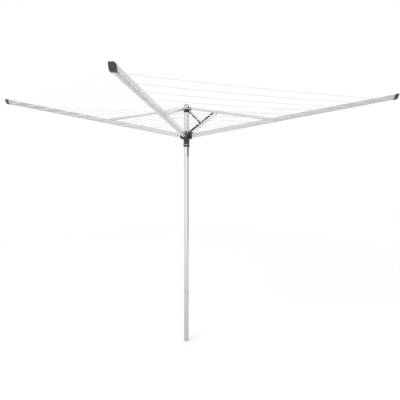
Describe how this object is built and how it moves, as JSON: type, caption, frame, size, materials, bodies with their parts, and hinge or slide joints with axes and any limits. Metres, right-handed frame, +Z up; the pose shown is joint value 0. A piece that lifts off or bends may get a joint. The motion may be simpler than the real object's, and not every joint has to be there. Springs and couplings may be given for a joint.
{
  "type": "rotary clothesline",
  "caption": "Rotary clothesline with folding arms on a sliding runner, braces from a crown, a turning mast and square rows of drying line.",
  "frame": {"origin": "centre of the mast's foot, at the lower end of the ground tube", "axes": "+Z up the mast; the four open arms run along -Y, +X, +Y and -X (arm_1 to arm_4)"},
  "size_m": [2.7, 2.7, 1.7318],
  "materials": {
    "mast_aluminium": "satin anodised tube",
    "arm_aluminium": "satin mill-finished channel",
    "black_plastic": "moulded, lightly textured",
    "grey_plastic": "moulded, lightly textured",
    "steel": "bright zinc plated",
    "nylon": "natural nylon",
    "drying_line": "smooth PVC sheath over a cord core"
  },
  "bodies": {
    "ground_tube": {"lower_tube": "mast_aluminium", "foot_plug": "black_plastic", "swivel_spindle": "steel"},
    "mast": {"mast_tube": "mast_aluminium", "lower_bush": "nylon", "upper_bush": "nylon", "crown": "black_plastic", "crown_screws": "steel", "hanging_eye": "grey_plastic", "brace_root_pins": "steel", "catch_pin": "steel", "catch_spring": "steel"},
    "catch": {"spring_catch": "black_plastic"},
    "runner": {"runner": "black_plastic", "runner_collar": "black_plastic", "runner_band": "steel", "arm_root_pins": "steel"},
    "brace_1": {"brace_1": "arm_aluminium"},
    "arm_1": {"arm_1": "arm_aluminium", "arm_yoke_1": "black_plastic", "yoke_rivets_1": "steel", "end_cap_1": "grey_plastic", "line_grommets_1": "grey_plastic", "brace_pin_1": "steel", "brace_washers_1": "nylon", "line_1": "drying_line"},
    "brace_2": {"brace_2": "arm_aluminium"},
    "arm_2": {"arm_2": "arm_aluminium", "arm_yoke_2": "black_plastic", "yoke_rivets_2": "steel", "end_cap_2": "grey_plastic", "line_grommets_2": "grey_plastic", "brace_pin_2": "steel", "brace_washers_2": "nylon", "line_2": "drying_line"},
    "brace_3": {"brace_3": "arm_aluminium"},
    "arm_3": {"arm_3": "arm_aluminium", "arm_yoke_3": "black_plastic", "yoke_rivets_3": "steel", "end_cap_3": "grey_plastic", "line_grommets_3": "grey_plastic", "brace_pin_3": "steel", "brace_washers_3": "nylon", "line_3": "drying_line"},
    "brace_4": {"brace_4": "arm_aluminium"},
    "arm_4": {"arm_4": "arm_aluminium", "arm_yoke_4": "black_plastic", "yoke_rivets_4": "steel", "end_cap_4": "grey_plastic", "line_grommets_4": "grey_plastic", "brace_pin_4": "steel", "brace_washers_4": "nylon", "line_4": "drying_line"}
  },
  "joints": [
    {"name": "spin", "type": "hinge", "parent": "ground_tube", "child": "mast", "pos_m": [0, 0, 0.371], "axis": [0, 0, 1], "continuous": true},
    {"name": "fold", "type": "hinge", "parent": "mast", "child": "brace_1", "pos_m": [0, -0.029, 1.65245], "axis": [1, 0, 0], "range_deg": [0, 79.16], "deforming": ["line_1", "line_2", "line_3", "line_4", "spring_catch", "catch_spring"]},
    {"name": "arm_1_swing", "type": "hinge", "parent": "brace_1", "child": "arm_1", "pos_m": [0, -0.60655, 1.57295], "axis": [-1, 0, 0], "range_deg": [0, 158.33]},
    {"name": "brace_2_swing", "type": "hinge", "parent": "mast", "child": "brace_2", "pos_m": [0.029, 0, 1.65245], "axis": [0, 1, 0], "range_deg": [0, 79.16]},
    {"name": "arm_2_swing", "type": "hinge", "parent": "brace_2", "child": "arm_2", "pos_m": [0.60655, 0, 1.57295], "axis": [0, -1, 0], "range_deg": [0, 158.33]},
    {"name": "brace_3_swing", "type": "hinge", "parent": "mast", "child": "brace_3", "pos_m": [0, 0.029, 1.65245], "axis": [-1, 0, 0], "range_deg": [0, 79.16]},
    {"name": "arm_3_swing", "type": "hinge", "parent": "brace_3", "child": "arm_3", "pos_m": [0, 0.60655, 1.57295], "axis": [1, 0, 0], "range_deg": [0, 158.33]},
    {"name": "brace_4_swing", "type": "hinge", "parent": "mast", "child": "brace_4", "pos_m": [-0.029, 0, 1.65245], "axis": [0, -1, 0], "range_deg": [0, 79.16]},
    {"name": "arm_4_swing", "type": "hinge", "parent": "brace_4", "child": "arm_4", "pos_m": [-0.60655, 0, 1.57295], "axis": [0, 1, 0], "range_deg": [0, 158.33]},
    {"name": "runner_travel", "type": "hinge", "parent": "arm_1", "child": "runner", "pos_m": [0, -0.029, 1.49345], "axis": [1, 0, 0], "range_deg": [0, 79.16]},
    {"name": "catch_press", "type": "hinge", "parent": "mast", "child": "catch", "pos_m": [0.00619, -0.00619, 1.33603], "axis": [-0.7071, -0.7071, 0], "range_deg": [0, 7], "stiffness_Nm_per_rad": 5, "springref_deg": -8.59, "deforming": ["catch_spring"]}
  ],
  "couplings": [
    {"joint": "arm_1_swing", "follows": "fold", "ratio": 2},
    {"joint": "brace_2_swing", "follows": "fold", "ratio": 1},
    {"joint": "arm_2_swing", "follows": "fold", "ratio": 2},
    {"joint": "brace_3_swing", "follows": "fold", "ratio": 1},
    {"joint": "arm_3_swing", "follows": "fold", "ratio": 2},
    {"joint": "brace_4_swing", "follows": "fold", "ratio": 1},
    {"joint": "arm_4_swing", "follows": "fold", "ratio": 2},
    {"joint": "runner_travel", "follows": "fold", "ratio": 1}
  ]
}
